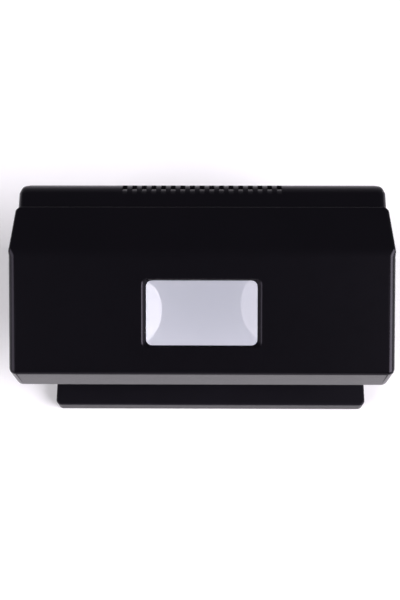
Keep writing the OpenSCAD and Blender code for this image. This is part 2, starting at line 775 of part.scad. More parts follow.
module fuse_clips() {
    color("silver") for (x = [fuse_x[0] + 1, fuse_x[1] - 6]) {
        difference() {
            block([x, board_face, fuse_z - 3.4], [x + 5, fuse_y + 1.6, fuse_z + 3.4]);
            rod_x([x - 1, fuse_y, fuse_z], 2.65, 7);
            block([x - 1, fuse_y, fuse_z - 2.2], [x + 6, fuse_y + 5, fuse_z + 2.2]);
        }
    }
}

// Lead terminals: mains at the left, switches at the right, lamp at the top, light panel at the bottom
connector_spots = [[-52, 42], [17, 42], [17, 50], [-50, 58], [17, 58], [-24, 28.5]];
connector_size = [7, 6, 4.5];

module board_connectors() {
    color("white") for (c = connector_spots)
        translate([c[0] - connector_size[0] / 2, board_face, c[1] - connector_size[2] / 2]) cube(connector_size);
}

// ---------- mains inlet ----------

module inlet_recess() {
    for (s = [-1, 1]) translate([s * inlet_pin_dx, 0]) circle(4.2);
    square([2 * inlet_pin_dx, 6.6], center = true);
}

module power_inlet() {
    back_y = housing_rear_y - inlet_depth - 2;
    color([0.1, 0.1, 0.1]) difference() {
        union() {
            translate([inlet_x, housing_rear_y, inlet_z]) rotate([90, 0, 0])
                linear_extrude(housing_rear_y - back_y) rounded_rect(20.4, 12.4, 1.9);
            translate([inlet_x, cavity_rear_y - gap, inlet_z]) rotate([90, 0, 0])
                linear_extrude(1.8) rounded_rect(25, 16, 1);
        }
        translate([inlet_x, housing_rear_y + 1, inlet_z]) rotate([90, 0, 0])
            linear_extrude(inlet_depth + 1) inlet_recess();
        for (s = [-1, 1]) rod_y([inlet_x + s * inlet_pin_dx, 0, inlet_z], 1.2, 60);
    }
}

module inlet_pins() {
    tip_y = housing_rear_y - 3.5;
    color("silver") for (s = [-1, 1]) {
        rod_y([inlet_x + s * inlet_pin_dx, 33, inlet_z], 1.2, tip_y - 33);
    }
}

// ---------- switches ----------

module switch_shell(z) {
    half = [switch_body[1] / 2, switch_body[2] / 2];
    color([0.1, 0.1, 0.1]) difference() {
        union() {
            block([switch_back_x, switch_y - half[0], z - half[1]], [housing_w / 2 + 1, switch_y + half[0], z + half[1]]);
            block([housing_w / 2, switch_y - half[0] - 0.95, z - half[1] - 0.85],
                [housing_w / 2 + 1.5, switch_y + half[0] + 0.95, z + half[1] + 0.85]);
        }
        block([rocker_x - 6, switch_y - 3.4, z - 6.6], [housing_w, switch_y + 3.4, z + 6.6]);
        rod_y([rocker_x, switch_y - 10, z], 0.95, 20);
        for (s = [-1, 1]) block([0, switch_y - 1.6, z + s * 3.5 - 0.3], [90, switch_y + 1.6, z + s * 3.5 + 0.3]);
    }
}

// Side view of a rocker in its own frame: X outwards, Y along its length
rocker_outline = [[-3.2, -4.4], [2, -5.6], [3.6, -5.4], [2.3, 0], [3.6, 5.4], [2, 5.6], [-3.2, 4.4]];

module rocker(z, tilt) {
    color([0.75, 0.1, 0.08]) translate([rocker_x, switch_y, z]) rotate([0, tilt, 0]) {
        translate([0, 3.2, 0]) rotate([90, 0, 0]) linear_extrude(6.4) polygon(rocker_outline);
        rod_y([0, -4.1, 0], 0.9, 8.2);
    }
}

module switch_terminals() {
    color("gold") for (z = [uv_switch_z, light_switch_z], s = [-1, 1])
        block([switch_back_x - 6, switch_y - 1.5, z + s * 3.5 - 0.25],
            [rocker_x - 6.2, switch_y + 1.5, z + s * 3.5 + 0.25]);
}

// ---------- leads ----------

connector_top = board_face + connector_size[1];
led_lead_z = 7.6;

module mains_leads() {
    color([0.45, 0.3, 0.15]) {
        lead([[inlet_x - inlet_pin_dx, 33, inlet_z], [-75.5, 31.5, 29], [-72, 33, 37], [-66, 39, 42.5],
            [-58, 42, 43], [-53.6, 41, 42.2], [-53.5, connector_top, 42]]);
        lead([[inlet_x + inlet_pin_dx, 33, inlet_z], [-64.4, 31.5, 29], [-61, 35, 35], [-58, 40.5, 38.5],
            [-53, 44, 40], [-50.4, 42.4, 41.6], [-50.5, connector_top, 42]]);
    }
}

module switch_leads() {
    blade_x = switch_back_x - 6;
    color([0.1, 0.2, 0.6]) {
        for (k = [0:1]) {
            z = [uv_switch_z, light_switch_z][k] + 3.5;
            lead([[15.5 + 3 * k, connector_top, 42], [15.7 + 3.2 * k, 41.2 - 1.1 * k, 41.2],
                [26, 42.8 - 2 * k, 39.6 - 5.6 * k], [48, 42 - k, z + 3], [66, switch_y + 1, z], [blade_x, switch_y, z]]);
            w = z - 7;
            lead([[15.5 + 3 * k, connector_top, 50], [15.7 + 3.2 * k, 43.2 - k, 49.2],
                [28, 46 - 0.8 * k, 47.5 - 7.5 * k], [48, 45.6, w + 5 + 8 * k], [60, 44, w + 2 + 2 * k],
                [66, switch_y + 4, w + 1], [72, switch_y + 0.6, w], [blade_x, switch_y, w]]);
        }
    }
}

module lamp_leads() {
    color([0.8, 0.8, 0.8]) {
        for (k = [-1, 1]) {
            z = lamp_z + 1.2 * k;
            lead([[-50 + 1.6 * k, connector_top, 58], [-51 + 1.6 * k, 41.2 + 1.2 * k, 60],
                [-58, 41 + 1.2 * k, 67 + 0.8 * k], [-67, 36 + 0.6 * k, z - 1.5],
                [-lead_hole_x, 29, z], [-lead_hole_x, bulkhead_y - 3, z]]);
            lead([[17 + 1.6 * k, connector_top, 58], [19 + 1.6 * k, 41.5 - 1.2 * k, 61 - k],
                [32, 43 - 1.2 * k, 69 + k], [60, 37, z], [lead_hole_x, 29, z], [lead_hole_x, bulkhead_y - 3, z]]);
        }
    }
}

module led_leads() {
    color([0.8, 0.1, 0.1]) for (k = [-1, 1])
        lead([[-24 + 1.6 * k, connector_top, 28.5], [-23.4 + 1.8 * k, 40.5 - 0.6 * k, 26],
            [-18 + 2 * k, 41 - 0.6 * k, 15], [-8 + 2.2 * k, 36.4 + 0.8 * k, 8.6], [k * 2 - 1, 29, led_lead_z],
            [k * 2, 22, led_lead_z], [k * 2, 18, led_lead_z]]);
}

// ---------- nodes ----------

base_pan();
deck_cover();
bulkhead();
rear_housing();
hood();
magnifier_lens();
lens_frame();
lens_frame_screws();
uv_tube();
tube_cap(-1);  // tube_cap_left
tube_cap(1);  // tube_cap_right
tube_pins();
socket_rotor(-1);  // socket_rotor_left
socket_rotor(1);  // socket_rotor_right
lamp_socket(-1);  // lamp_socket_left
lamp_socket(1);  // lamp_socket_right
socket_screws();
uv_reflector();
reflector_screws();
light_diffuser();
led_board();
white_leds();
led_board_screws();
ballast_board();
board_screws();
transformer_core();
transformer_bobbin();
bulk_capacitor();
film_capacitors();
power_transistors();
board_connectors();
fuse();
fuse_clips();
power_inlet();
inlet_pins();
switch_shell(uv_switch_z);  // uv_switch_body
rocker(uv_switch_z, -rocker_tilt);  // uv_switch_rocker
switch_shell(light_switch_z);  // light_switch_body
rocker(light_switch_z, rocker_tilt);  // light_switch_rocker
switch_terminals();
rubber_feet();
base_screws();
housing_screws();
hood_screws();
mains_leads();
switch_leads();
lamp_leads();
led_leads();
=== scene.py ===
"""Looks of the counterfeit bill detector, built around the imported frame.

Metres, +X the operator's right, +Y the rear, +Z up. The shell pieces, lens and rockers are built here;
the other CAD nodes keep their shape and get softened edges and procedural materials.
"""

import json
import math

import bmesh
import bpy
from mathutils import Matrix, Vector


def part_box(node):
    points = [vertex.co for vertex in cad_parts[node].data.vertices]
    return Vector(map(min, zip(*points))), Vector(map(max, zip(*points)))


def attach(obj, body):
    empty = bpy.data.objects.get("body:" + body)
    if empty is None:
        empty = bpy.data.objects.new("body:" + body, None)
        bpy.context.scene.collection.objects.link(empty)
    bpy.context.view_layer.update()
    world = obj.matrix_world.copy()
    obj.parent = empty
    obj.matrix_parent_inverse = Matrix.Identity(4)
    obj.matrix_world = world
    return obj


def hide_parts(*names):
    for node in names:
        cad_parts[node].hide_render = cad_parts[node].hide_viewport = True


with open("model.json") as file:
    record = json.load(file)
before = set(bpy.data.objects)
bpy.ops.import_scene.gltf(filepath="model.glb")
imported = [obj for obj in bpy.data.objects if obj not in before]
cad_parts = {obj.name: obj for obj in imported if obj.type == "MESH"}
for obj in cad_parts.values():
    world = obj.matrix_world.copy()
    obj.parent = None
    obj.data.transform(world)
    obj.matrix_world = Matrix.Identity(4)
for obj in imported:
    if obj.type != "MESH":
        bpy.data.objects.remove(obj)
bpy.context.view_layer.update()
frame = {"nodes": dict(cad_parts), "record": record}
MM = 0.001


# ---------- camera, floor and light ----------

def camera():
    """A camera in front of and well above the detector, turned and rolled a little."""
    elevation, yaw, roll = math.radians(71.18), math.radians(1.64), math.radians(-1.45)
    distance, aim = 0.5125, Vector((-0.00108, -0.0047, 0.060))
    forward = Vector((-math.sin(yaw) * math.cos(elevation), math.cos(yaw) * math.cos(elevation),
                      -math.sin(elevation)))
    up = Vector((-math.sin(yaw) * math.sin(elevation), math.cos(yaw) * math.sin(elevation),
                 math.cos(elevation)))
    side = forward.cross(up)
    right = side * math.cos(roll) + up * math.sin(roll)
    top = up * math.cos(roll) - side * math.sin(roll)
    axes = Matrix((right, top, -forward)).transposed()
    data = bpy.data.cameras.new("camera")
    data.sensor_width = 36
    data.lens = 58.13
    data.clip_start = 0.01
    eye = bpy.data.objects.new("camera", data)
    eye.matrix_world = Matrix.Translation(aim - forward * distance) @ axes.to_4x4()
    bpy.context.scene.collection.objects.link(eye)
    bpy.context.scene.camera = eye


def soft_sun(name, azimuth, elevation, strength, spread, colour):
    """A wide soft light far away. Azimuth 0 shines from the right and 90 from the rear."""
    data = bpy.data.lights.new(name, "SUN")
    data.energy = strength
    data.angle = math.radians(spread)
    data.color = colour
    lamp = bpy.data.objects.new(name, data)
    turn, rise = math.radians(azimuth), math.radians(elevation)
    source = Vector((math.cos(rise) * math.cos(turn), math.cos(rise) * math.sin(turn), math.sin(rise)))
    lamp.rotation_euler = source.to_track_quat("Z", "Y").to_euler()
    bpy.context.scene.collection.objects.link(lamp)


def room():
    """A room that is pale near the floor and dim overhead."""
    world = bpy.data.worlds.new("room")
    world.use_nodes = True
    nodes, links = world.node_tree.nodes, world.node_tree.links
    split = nodes.new("ShaderNodeSeparateXYZ")
    links.new(nodes.new("ShaderNodeTexCoord").outputs["Generated"], split.inputs[0])
    fade = nodes.new("ShaderNodeMapRange")
    fade.interpolation_type = "SMOOTHSTEP"
    for key, number in (("From Min", -0.02), ("From Max", 0.42), ("To Min", 0.9), ("To Max", 0.2)):
        fade.inputs[key].default_value = number
    links.new(split.outputs["Z"], fade.inputs["Value"])
    background = nodes["Background"]
    background.inputs["Color"].default_value = (0.96, 0.95, 1, 1)
    links.new(fade.outputs["Result"], background.inputs["Strength"])
    bpy.context.scene.world = world


def lay_floor():
    """A wide pale floor that glows a little, so that the shadows on it stay pale."""
    half = 20.0
    corners = [(-half, -half, 0), (half, -half, 0), (half, half, 0), (-half, half, 0)]
    mesh = bpy.data.meshes.new("floor")
    mesh.from_pydata(corners, [], [(0, 1, 2, 3)])
    floor = bpy.data.objects.new("floor", mesh)
    bpy.context.scene.collection.objects.link(floor)
    mesh.materials.append(finish("floor_white", (0.88, 0.88, 0.88), 0.9, bump=0, mottle=0.01,
                                 Emission_Color=(1, 1, 1, 1), Emission_Strength=0.14))


def studio():
    """The floor, soft light mostly from the right and a room that is dim overhead."""
    lay_floor()
    tint = (0.98, 0.93, 1)
    soft_sun("right", -22, 37, 4.0, 42, tint)
    soft_sun("left", 204, 34, 1.6, 44, tint)
    soft_sun("front", -90, 14, 0.1, 28, tint)
    soft_sun("back", 90, 20, 0.12, 44, tint)
    room()
    bpy.context.scene.view_settings.view_transform = "Standard"


# ---------- materials ----------

GRAIN_DEPTH = 0.02 * MM
GLOSS_CHANGE, GLOSS_PATCH = 0.12, 0.45
MIX_COLOURS, MIX_RESULT = (6, 7), 2


class Tree:
    """Short names for making a node tree in the object's own coordinates."""

    def __init__(self, name):
        self.material = bpy.data.materials.new(name)
        self.material.use_nodes = True
        self.nodes = self.material.node_tree.nodes
        self.links = self.material.node_tree.links
        self.shader = self.nodes["Principled BSDF"]
        self.place = self.nodes.new("ShaderNodeTexCoord").outputs["Object"]

    def noise(self, size, detail=2.0, stretch=(1, 1, 1)):
        """Noise whose features are about size metres across."""
        node = self.nodes.new("ShaderNodeTexNoise")
        node.inputs["Scale"].default_value = 1 / size
        node.inputs["Detail"].default_value = detail
        source = self.place
        if stretch != (1, 1, 1):
            mapping = self.nodes.new("ShaderNodeMapping")
            mapping.inputs["Scale"].default_value = stretch
            self.links.new(source, mapping.inputs["Vector"])
            source = mapping.outputs["Vector"]
        self.links.new(source, node.inputs["Vector"])
        return node.outputs["Fac"]

    def spread(self, value, low, high, start=0.35, end=0.65):
        """The value, which runs from start to end, brought to low and high."""
        node = self.nodes.new("ShaderNodeMapRange")
        for key, number in (("From Min", start), ("From Max", end), ("To Min", low), ("To Max", high)):
            node.inputs[key].default_value = number
        self.links.new(value, node.inputs["Value"])
        return node.outputs["Result"]

    def blend(self, factor, first, second):
        """A colour between the two."""
        node = self.nodes.new("ShaderNodeMix")
        node.data_type = "RGBA"
        self.links.new(factor, node.inputs["Factor"])
        for socket, colour in zip(MIX_COLOURS, (first, second)):
            node.inputs[socket].default_value = (*colour, 1)
        return node.outputs[MIX_RESULT]

    def add(self, first, second):
        """The sum of two values."""
        node = self.nodes.new("ShaderNodeMath")
        for socket, value in zip(node.inputs, (first, second)):
            self.links.new(value, socket)
        return node.outputs[0]

    def attribute(self, name):
        """A value that is kept in the mesh."""
        node = self.nodes.new("ShaderNodeAttribute")
        node.attribute_name = name
        return node.outputs["Fac"]

    def bump(self, height, strength):
        """Fine relief."""
        node = self.nodes.new("ShaderNodeBump")
        node.inputs["Strength"].default_value = strength
        node.inputs["Distance"].default_value = GRAIN_DEPTH
        self.links.new(height, node.inputs["Height"])
        self.links.new(node.outputs["Normal"], self.shader.inputs["Normal"])

    def set(self, **values):
        """Even values, named after the shader's sockets with _ for a space."""
        for key, value in values.items():
            self.shader.inputs[key.replace("_", " ")].default_value = value

    def link(self, value, socket):
        """Joins a value to one of the shader's sockets."""
        self.links.new(value, self.shader.inputs[socket])


def shades(colour, change):
    """A darker and a lighter shade of the colour."""
    return tuple(c * (1 - change) for c in colour), tuple(min(1, c * (1 + change)) for c in colour)


def finish(name, colour, roughness, grain=0.35 * MM, bump=0.2, mottle=0.15, patch=9 * MM, stretch=(1, 1, 1),
           **values):
    """A surface with fine grain in its relief, and slow changes of colour and gloss."""
    tree = Tree(name)
    slow = tree.noise(patch, 3)
    tree.link(tree.blend(tree.spread(slow, 0, 1), *shades(colour, mottle)), "Base Color")
    gloss = tree.noise(patch * GLOSS_PATCH, 4, stretch)
    rough = min(1, roughness * (1 + GLOSS_CHANGE))
    tree.link(tree.spread(gloss, roughness * (1 - GLOSS_CHANGE), rough), "Roughness")
    if bump:
        tree.bump(tree.noise(grain, 2, stretch), bump)
    tree.set(**values)
    return tree.material


def shell_plastic(name, colour, roughness):
    """Black moulded plastic with a fine spark texture, a little glossier where it is handled."""
    patch, wear, spark, handled = 30 * MM, 8 * MM, 0.3 * MM, 0.05
    tree = Tree(name)
    slow = tree.spread(tree.noise(patch), 0, 1)
    tree.link(tree.blend(slow, *shades(colour, 0.06)), "Base Color")
    gloss = tree.add(tree.noise(wear), tree.attribute("edge"))
    tree.link(tree.spread(gloss, roughness, roughness - handled, 0.5, 1.5), "Roughness")
    tree.bump(tree.noise(spark), 0.1)
    tree.set(Specular_IOR_Level=0.19, Specular_Tint=(0.9, 0.84, 1, 1))
    return tree.material


def palette():
    """One material for each slot of the record."""
    return {
        "shell_black": shell_plastic("shell_black", (0.0017, 0.0015, 0.0024), 0.27),
        "inner_black": finish("inner_black", (0.012, 0.012, 0.014), 0.5),
        "rocker_black": finish("rocker_black", (0.008, 0.008, 0.009), 0.18, bump=0.05),
        "lens_clear": finish("lens_clear", (1, 1, 1), 0.02, bump=0, mottle=0, IOR=1.49,
                             Transmission_Weight=1.0),
        "screw_steel": finish("screw_steel", (0.55, 0.55, 0.56), 0.3, Metallic=1.0, mottle=0.12,
                              patch=1.5 * MM),
        "tube_glass": finish("tube_glass", (0.05, 0.02, 0.2), 0.08, bump=0, mottle=0.25, Coat_Weight=0.6),
        "cap_aluminium": finish("cap_aluminium", (0.75, 0.76, 0.78), 0.28, stretch=(1, 12, 12), Metallic=1.0),
        "contact_brass": finish("contact_brass", (0.72, 0.53, 0.24), 0.25, Metallic=1.0, patch=2 * MM),
        "socket_white": finish("socket_white", (0.8, 0.8, 0.78), 0.45, mottle=0.04),
        "reflector_aluminium": finish("reflector_aluminium", (0.86, 0.87, 0.88), 0.16, bump=0.1, mottle=0.03,
                                      stretch=(1, 25, 25), Metallic=1.0),
        "panel_opal": finish("panel_opal", (0.88, 0.88, 0.94), 0.35, bump=0.06, mottle=0.02, patch=30 * MM,
                             Emission_Color=(0.84, 0.85, 1.0, 1), Emission_Strength=0.5),
        "board_white": finish("board_white", (0.82, 0.83, 0.8), 0.35, mottle=0.04),
        "led_yellow": finish("led_yellow", (0.9, 0.72, 0.18), 0.3, Emission_Color=(1, 0.95, 0.85, 1),
                             Emission_Strength=0.6),
        "board_green": finish("board_green", (0.012, 0.09, 0.035), 0.3, mottle=0.3, patch=3 * MM),
        "ferrite": finish("ferrite", (0.035, 0.035, 0.04), 0.6, bump=0.5),
        "bobbin_amber": finish("bobbin_amber", (0.6, 0.38, 0.06), 0.3, mottle=0.1, stretch=(8, 1, 8)),
        "capacitor_sleeve": finish("capacitor_sleeve", (0.012, 0.03, 0.12), 0.25, bump=0.05),
        "capacitor_red": finish("capacitor_red", (0.36, 0.03, 0.02), 0.3, grain=1.2 * MM),
        "fuse_glass": finish("fuse_glass", (0.9, 0.93, 0.95), 0.04, bump=0, mottle=0, IOR=1.5,
                             Transmission_Weight=0.9),
        "foot_rubber": finish("foot_rubber", (0.016, 0.016, 0.017), 0.75, bump=0.5, mottle=0.25),
        "lead_brown": finish("lead_brown", (0.11, 0.05, 0.02), 0.35, bump=0.05),
        "lead_blue": finish("lead_blue", (0.02, 0.06, 0.3), 0.35, bump=0.05),
        "lead_white": finish("lead_white", (0.7, 0.7, 0.68), 0.45, bump=0.05),
        "lead_red": finish("lead_red", (0.4, 0.02, 0.02), 0.35, bump=0.05),
    }


# ---------- mesh helpers, in millimetres ----------

SHARP_ANGLE = math.radians(40)


def dressed(obj, body, slot, *nodes):
    """Makes an object the piece that stands for the CAD nodes."""
    obj.data.materials.clear()
    obj.data.materials.append(MATERIALS[slot])
    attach(obj, body)
    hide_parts(*nodes)


def scratch(name, bm):
    """A bmesh in millimetres as a loose object in metres, for modifiers and booleans."""
    bmesh.ops.recalc_face_normals(bm, faces=bm.faces)
    bmesh.ops.scale(bm, vec=(MM, MM, MM), verts=bm.verts)
    mesh = bpy.data.meshes.new(name)
    bm.to_mesh(mesh)
    bm.free()
    obj = bpy.data.objects.new(name, mesh)
    bpy.context.scene.collection.objects.link(obj)
    return obj


def drop(obj):
    """Deletes an object and its mesh."""
    mesh = obj.data
    bpy.data.objects.remove(obj)
    bpy.data.meshes.remove(mesh)


def settle(obj):
    """Applies the object's modifiers to its mesh, and returns the object."""
    bpy.context.view_layer.update()
    graph = bpy.context.evaluated_depsgraph_get()
    mesh = bpy.data.meshes.new_from_object(obj.evaluated_get(graph))
    old = obj.data
    obj.modifiers.clear()
    obj.data = mesh
    bpy.data.meshes.remove(old)
    return obj


def combine(obj, other, operation):
    """Boolean of obj with a scratch object, which is then dropped."""
    mod = obj.modifiers.new("boolean", "BOOLEAN")
    mod.operation = operation
    mod.solver = "EXACT"
    mod.object = other
    settle(obj)
    drop(other)


def loft(rings):
    """A closed solid through rings of points, each ring with the same number of points."""
    bm = bmesh.new()
    made = [[bm.verts.new(p) for p in ring] for ring in rings]
    count = len(rings[0])
    for low, high in zip(made, made[1:]):
        for i in range(count):
            j = (i + 1) % count
            bm.faces.new((low[i], low[j], high[j], high[i]))
    bm.faces.new(reversed(made[0]))
    bm.faces.new(made[-1])
    return bm


def prism_x(outline, x0, x1):
    """An outline in Y and Z, drawn out along X."""
    return loft([[(x, y, z) for y, z in outline] for x in (x0, x1)])


def prism_z(outline, z0, z1):
    """An outline in X and Y, drawn out along Z."""
    return loft([[(x, y, z) for x, y in outline] for z in (z0, z1)])


def block(low, high):
    """A box between two corners."""
    (x0, y0, z0), (x1, y1, z1) = low, high
    return prism_z([(x0, y0), (x1, y0), (x1, y1), (x0, y1)], z0, z1)


def disc(centre, radius, steps=32):
    """Points round a circle."""
    turns = [2 * math.pi * i / steps for i in range(steps)]
    return [(centre[0] + radius * math.cos(turn), centre[1] + radius * math.sin(turn)) for turn in turns]


def rod_y(x, z, radius, y0, y1):
    """A round rod along Y."""
    return loft([[(px, y, pz) for px, pz in disc((x, z), radius)] for y in (y0, y1)])


def rod_z(x, y, radius, z0, z1):
    """A round rod along Z."""
    return prism_z(disc((x, y), radius), z0, z1)


def rounded(width, height, radius, centre=(0, 0), steps=6):
    """Outline of a rectangle with round corners."""
    points = []
    for turn, (sx, sy) in enumerate(((1, 1), (-1, 1), (-1, -1), (1, -1))):
        cx, cy = sx * (width / 2 - radius), sy * (height / 2 - radius)
        for i in range(steps + 1):
            angle = math.pi / 2 * (turn + i / steps)
            points.append((centre[0] + cx + radius * math.cos(angle),
                           centre[1] + cy + radius * math.sin(angle)))
    return points


def dense(outline, step=1.5):
    """The outline with extra points along its long sides."""
    points = []
    for (ax, ay), (bx, by) in zip(outline, outline[1:] + outline[:1]):
        count = max(1, round(math.hypot(bx - ax, by - ay) / step))
        points += [(ax + (bx - ax) * i / count, ay + (by - ay) * i / count) for i in range(count)]
    return points


def joined(parts):
    """Several bmeshes as one, still separate solids."""
    whole = bmesh.new()
    for part in parts:
        mesh = bpy.data.meshes.new("part")
        part.to_mesh(mesh)
        part.free()
        whole.from_mesh(mesh)
        bpy.data.meshes.remove(mesh)
    return whole


def round_edges(obj, radius_of, segments):
    """Rounds each edge by the radius, in millimetres, that radius_of gives for its middle and direction."""
    bm = bmesh.new()
    bm.from_mesh(obj.data)
    layer = bm.edges.layers.float.new("bevel_weight_edge")
    radii = {}
    for edge in bm.edges:
        a, b = (v.co / MM for v in edge.verts)
        radii[edge] = radius_of((a + b) / 2, (b - a).normalized())
    widest = max(radii.values())
    for edge, radius in radii.items():
        edge[layer] = radius / widest
    bm.to_mesh(obj.data)
    bm.free()
    mod = obj.modifiers.new("round", "BEVEL")
    mod.limit_method = "WEIGHT"
    mod.width = widest * MM
    mod.segments = segments
    mod.miter_outer = "MITER_ARC"
    return settle(obj)


def soften(obj, width, segments=3):
    """A fine round along the edges that the booleans left sharp."""
    speck = 0.004 * MM
    bm = bmesh.new()
    bm.from_mesh(obj.data)
    bmesh.ops.remove_doubles(bm, verts=bm.verts, dist=speck)
    bmesh.ops.dissolve_degenerate(bm, edges=bm.edges, dist=speck)
    bmesh.ops.dissolve_limit(bm, angle_limit=math.radians(0.5), verts=bm.verts, edges=bm.edges)
    bm.to_mesh(obj.data)
    bm.free()
    mod = obj.modifiers.new("soften", "BEVEL")
    mod.limit_method = "ANGLE"
    mod.angle_limit = SHARP_ANGLE
    mod.width = width * MM
    mod.segments = segments
    mod.use_clamp_overlap = False
    settle(obj)


def smooth_shade(obj, mark_edges=True):
    """Smooth normals weighted to the flat faces, and an edge attribute that is 1 on the rounds."""
    mesh = obj.data
    mesh.polygons.foreach_set("use_smooth", [True] * len(mesh.polygons))
    mesh.set_sharp_from_angle(angle=SHARP_ANGLE)
    if mark_edges:
        layer = mesh.attributes.new("edge", "FLOAT", "FACE")
        layer.data.foreach_set("value", [1.0 if narrow(mesh, p) else 0.0 for p in mesh.polygons])
    mod = obj.modifiers.new("normals", "WEIGHTED_NORMAL")
    mod.keep_sharp = True


def narrow(mesh, polygon):
    """True for the small strips that round an edge."""
    level, thin, long = 0.9, 0.9 * MM, 2 * MM
    lengths = sorted((mesh.vertices[a].co - mesh.vertices[b].co).length for a, b in polygon.edge_keys)
    return polygon.normal.z < level and len(lengths) <= 4 and lengths[0] < thin and lengths[-1] > long


def upright(way):
    """True for the direction of an edge along Z."""
    return abs(way.z) > 0.9


def crosswise(way):
    """True for the direction of an edge along X."""
    return abs(way.x) > 0.9


# ---------- the hood ----------

# Millimetres. The CAD nodes' boxes give the outer sizes, and the rest repeats the CAD's own sizes.
WALL = 2.2
POST_R = 3.4
HOOD_LOW, HOOD_HIGH = (tuple(c / MM for c in corner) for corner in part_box("hood"))
HOOD_W = HOOD_HIGH[0] - HOOD_LOW[0]
FRONT_Y, HOOD_REAR_Y = HOOD_LOW[1], HOOD_HIGH[1]
RIM_Z, TOP_Z = HOOD_LOW[2], HOOD_HIGH[2]
CREASE_Y = 10
LIP_Z = 69.7
REAR_HALF_W = 95.6
CHAMFER = 2
FACET = math.atan2(TOP_Z - LIP_Z, CREASE_Y - FRONT_Y)
WINDOW = (61, 34.8)


def hood_solid(inset, rim):
    """The hood's faceted body. Drawn in by inset, it is the hood's hollow, which runs out at the rear."""
    slope = math.tan(FACET)
    half = HOOD_W / 2 - inset
    hair = 0.01
    rear = HOOD_REAR_Y if inset == 0 else HOOD_REAR_Y + 1
    cut = CHAMFER if inset == 0 else hair
    stations = [
        (FRONT_Y + inset, half, LIP_Z - inset / math.cos(FACET) + inset * slope),
        (CREASE_Y - inset * math.tan(FACET / 2), half, TOP_Z - inset),
        (rear - cut, REAR_HALF_W - inset, TOP_Z - inset),
        (rear, REAR_HALF_W - inset - cut, TOP_Z - inset)]
    bm = bmesh.new()
    grid = [[bm.verts.new(p) for p in ((-x, y, rim), (-x, y, z), (x, y, z), (x, y, rim))]
            for y, x, z in stations]
    for a, b in zip(grid, grid[1:]):
        for i in (0, 2):
            bm.faces.new((a[i], a[i + 1], b[i + 1], b[i]))
    bm.faces.new((grid[0][1], grid[0][2], grid[1][2], grid[1][1]))
    top = [row[1] for row in grid[1:]] + [row[2] for row in reversed(grid[1:])]
    bm.faces.new(top)
    bm.faces.new([row[0] for row in grid] + [row[3] for row in reversed(grid)])
    bm.faces.new(grid[0])
    bm.faces.new(grid[-1])
    return scratch("hood_solid", bm)


def hood_radius(middle, way):
    """Edge radii: none at the rim, which is rounded later, and large at the front and sloping corners."""
    front = middle.y < FRONT_Y + 1
    if middle.z < RIM_Z + 1:
        return 0
    if upright(way):
        return 4.0 if front else 0.8
    if crosswise(way) and front:
        return 1.2
    if crosswise(way):
        return 2.5 if middle.y < CREASE_Y + 1 else 0.7
    if middle.y < CREASE_Y - 1:
        return 3.8
    return 1.6 if middle.y < HOOD_REAR_Y - CHAMFER else 1.0


def rim_radius(middle, _way):
    """Edge radii for the rim's own pass."""
    return 0.5 if middle.z < RIM_Z + 0.01 else 0


def on_facet(bm):
    """Moves a bmesh drawn flat, with its face at z = 0, to the sloping facet."""
    middle = Vector((0, (CREASE_Y + FRONT_Y) / 2, (TOP_Z + LIP_Z) / 2))
    bm.transform(Matrix.Translation(middle) @ Matrix.Rotation(FACET, 4, "X"))
    return bm


def window_cutter():
    """The through hole with bevels that are wider at the sides, and a soft outer edge."""
    bevel_x, bevel_y, depth, corner, ease = 2.3, 1.0, 1.9, 3.0, 0.4
    steps = ((-10, 1), (-depth, 1), (-0.35, 0.3), (-0.1, 0.06), (0.0, -0.12), (0.3, -0.5))
    rings = []
    for z, part in steps:
        width, height = WINDOW[0] - 2 * bevel_x * part, WINDOW[1] - 2 * bevel_y * part
        rings.append([(x, y, z) for x, y in rounded(width, height, corner - ease * (1 - part))])
    return scratch("window", on_facet(loft(rings)))


def hood_bosses():
    """Bosses for the bulkhead's screws, each tied to a side wall, and posts for the lens frame."""
    boss_x, boss_z, front, back, tie = 86, (54, 80), 9.9, 23.9, 1
    post_x, post_y, post_r, post_z = 39.5, 15, 2.8, (-5.2, -WALL + 0.3)
    parts = []
    for x in (-boss_x, boss_x):
        wall_x = math.copysign(REAR_HALF_W, x)
        for z in boss_z:
            parts.append(rod_y(x, z, POST_R, front, back))
            parts.append(block((min(x, wall_x), front + 0.2, z - tie), (max(x, wall_x), back - 2, z + tie)))
    for x in (-post_x, post_x):
        for y in (-post_y, post_y):
            parts.append(on_facet(rod_z(x, y, post_r, *post_z)))
    return scratch("bosses", joined(parts))


def make_hood():
    """The visor. Its rim is rounded in a pass of its own, which keeps the corners clean."""
    hood = round_edges(hood_solid(0, RIM_Z), hood_radius, 6)
    round_edges(hood, rim_radius, 3)
    combine(hood, hood_solid(WALL, RIM_Z - 1), "DIFFERENCE")
    combine(hood, window_cutter(), "DIFFERENCE")
    combine(hood, hood_bosses(), "UNION")
    hood.name = hood.data.name = "hood_shell"
    smooth_shade(hood)
    dressed(hood, "housing", "shell_black", "hood")


# ---------- the rear housing ----------

HOUSING_LOW, HOUSING_HIGH = (tuple(c / MM for c in corner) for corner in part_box("rear_housing"))
HALF_W = HOUSING_HIGH[0]
HOUSING_TOP, REAR_Y = HOUSING_HIGH[2], HOUSING_HIGH[1]
HOUSING_Z, COLUMN_Y = HOUSING_LOW[2], HOUSING_LOW[1]
LAP_Y = HOOD_REAR_Y + 0.15
LAP_HALF_W = REAR_HALF_W - WALL - 0.5
LAP_TOP = TOP_Z - WALL - 0.4


def housing_radius(inset):
    """Edge radii for the column, or for its hollow, which is drawn in by inset."""
    def radius(middle, way):
        rear = middle.y > COLUMN_Y + 15
        if middle.z < HOUSING_Z + 0.1:
            return 0
        if upright(way):
            return 6 - inset if rear else 0.4
        if crosswise(way):
            return 8 - inset if rear else 0.4
        return 4 - inset
    return radius


